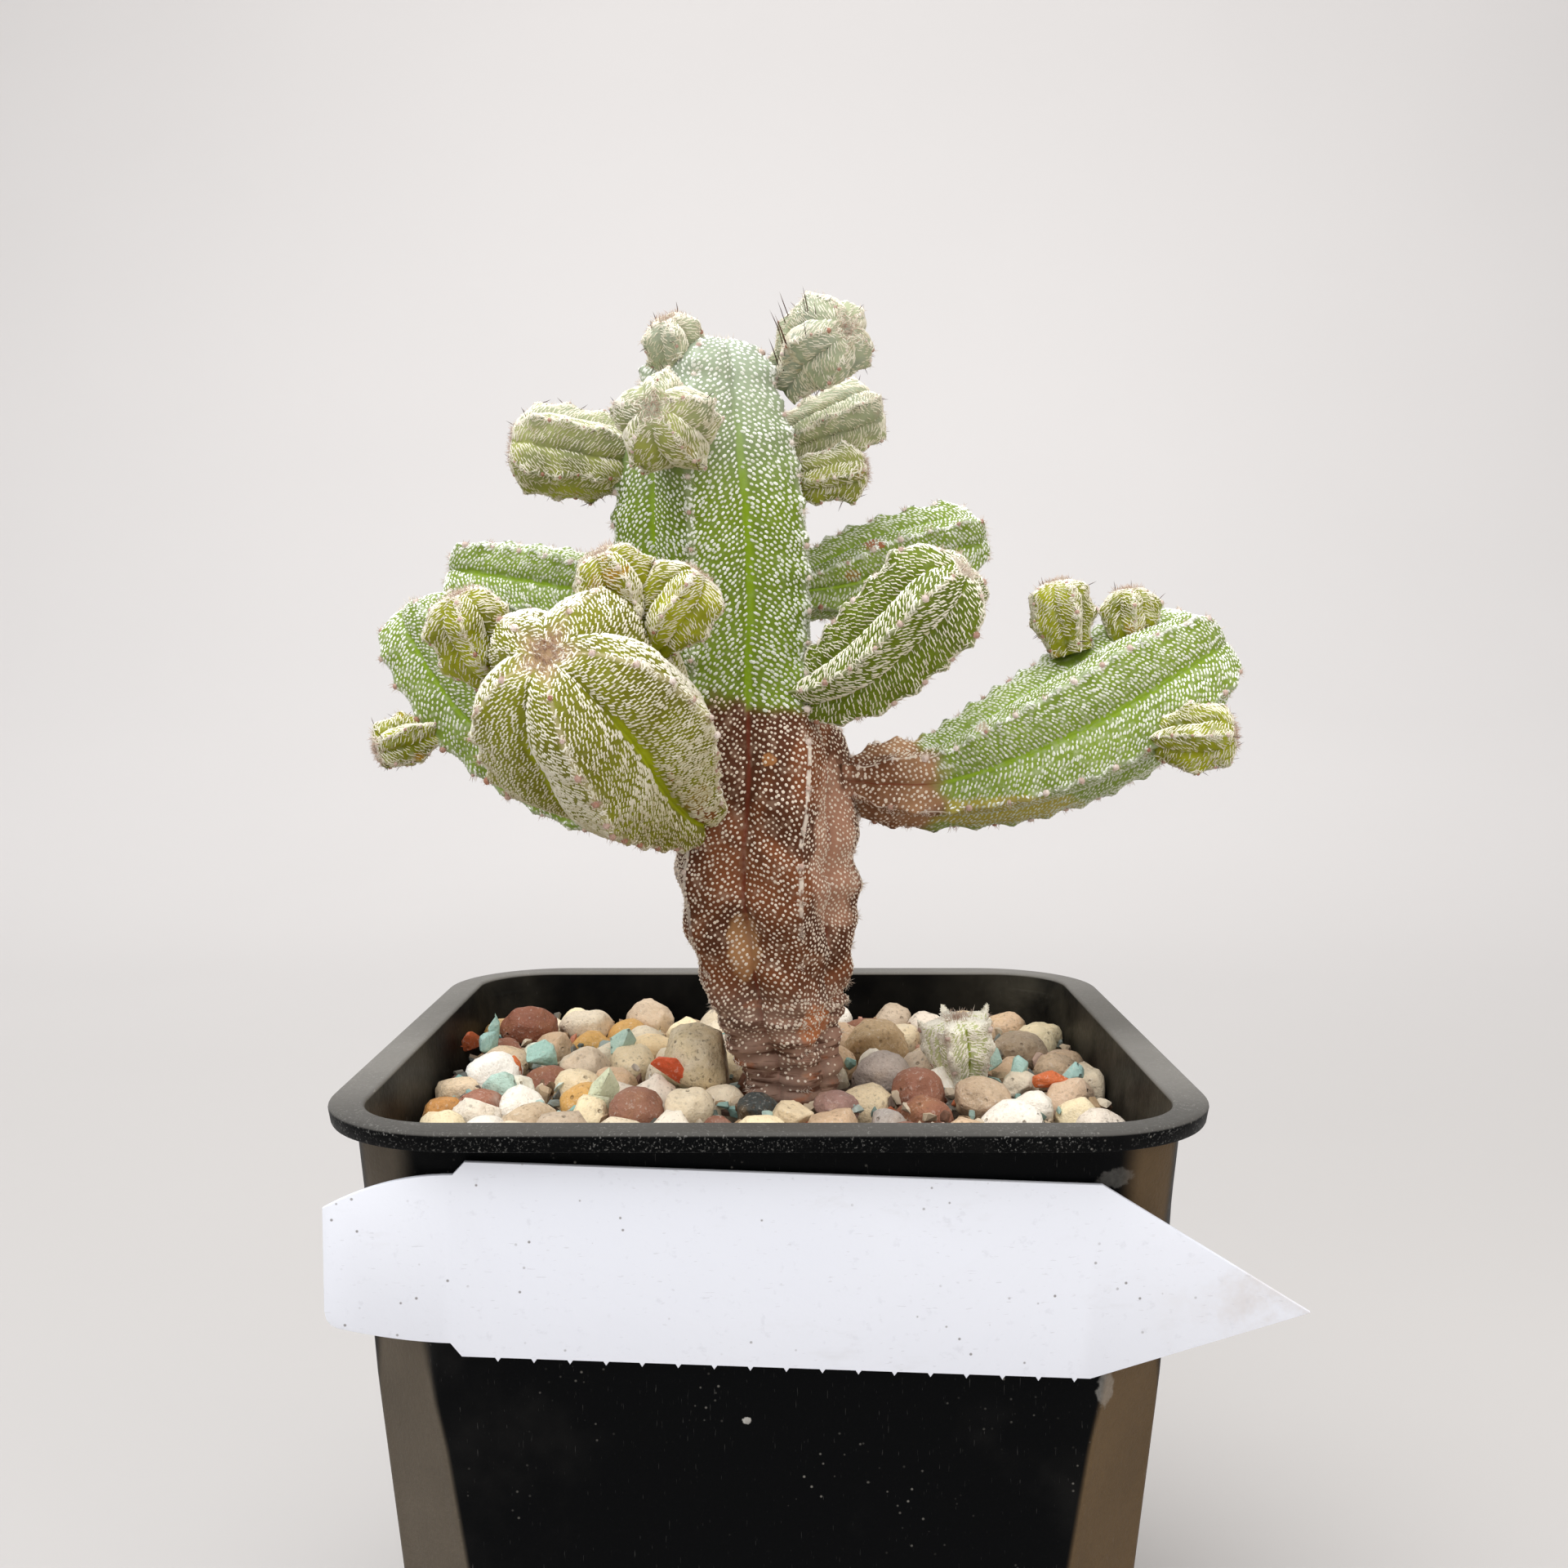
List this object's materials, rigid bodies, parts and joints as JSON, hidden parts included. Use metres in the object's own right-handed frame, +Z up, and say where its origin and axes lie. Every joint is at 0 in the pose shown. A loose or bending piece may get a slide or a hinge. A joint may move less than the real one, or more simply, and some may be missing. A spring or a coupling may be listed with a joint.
{
  "type": "potted monstrose bishops cap cactus",
  "caption": "Ribbed monstrose cactus with side stems and offsets, standing in gravel in a square tapered nursery pot with a bare plant label on its front.",
  "frame": {"origin": "centre of the pot's underside", "axes": "+Z up, -Y the front that carries the label, +X to the viewer's right when facing the front"},
  "size_m": [0.1124, 0.095, 0.1826],
  "materials": {
    "pot_plastic": "fine-grained near-black moulded plastic, dusty",
    "soil": "loose dark potting mix",
    "stones": "mixed rounded pebbles, cream, tan, brick red, grey and turquoise",
    "cactus_skin": "green skin with dense white flecks, brown and corky at the foot",
    "pup_skin": "olive green skin with cream flecks",
    "label_plastic": "white label plastic, smooth, slightly soiled"
  },
  "bodies": {
    "root": {"pot": "pot_plastic", "potting_mix": "soil", "gravel": "stones", "main_stem": "cactus_skin", "stem_front_left": "cactus_skin", "stem_left_upper": "cactus_skin", "stem_left_outer": "cactus_skin", "stem_right_mid": "cactus_skin", "stem_right_back": "cactus_skin", "stem_right_long": "cactus_skin", "fallen_pup": "pup_skin", "plant_label": "label_plastic"}
  },
  "joints": []
}
